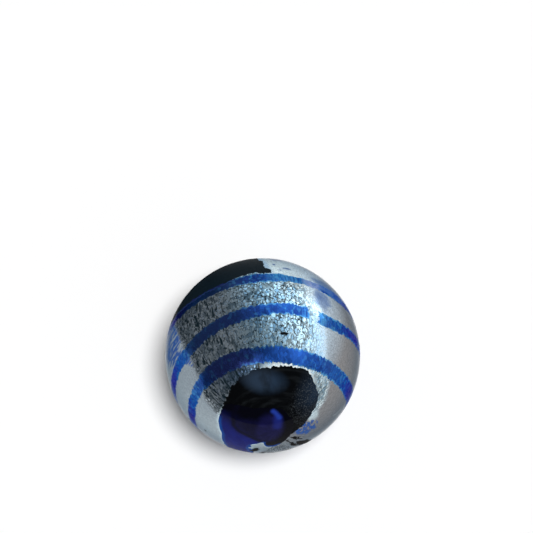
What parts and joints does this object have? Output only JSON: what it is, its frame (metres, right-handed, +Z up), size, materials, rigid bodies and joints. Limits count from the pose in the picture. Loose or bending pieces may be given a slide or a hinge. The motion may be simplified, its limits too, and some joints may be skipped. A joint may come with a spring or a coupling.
{
  "type": "glass marble",
  "caption": "Solid glass ball: a black core under crackled silver leaf, with a cobalt-blue trail wound round it from a blob at one pole, all melted in flush.",
  "frame": {"origin": "centre of the ball", "axes": "+Z up, towards the side that faces the camera in a view from above; +X to that view's right and +Y to its top; the trail's blob lies towards -Y, above the ball's middle"},
  "size_m": [0.022, 0.022, 0.022],
  "materials": {
    "core_glass": "gloss",
    "silver_leaf": "gloss",
    "trail_glass": "gloss"
  },
  "bodies": {
    "root": {"marble": "core_glass"}
  },
  "joints": []
}
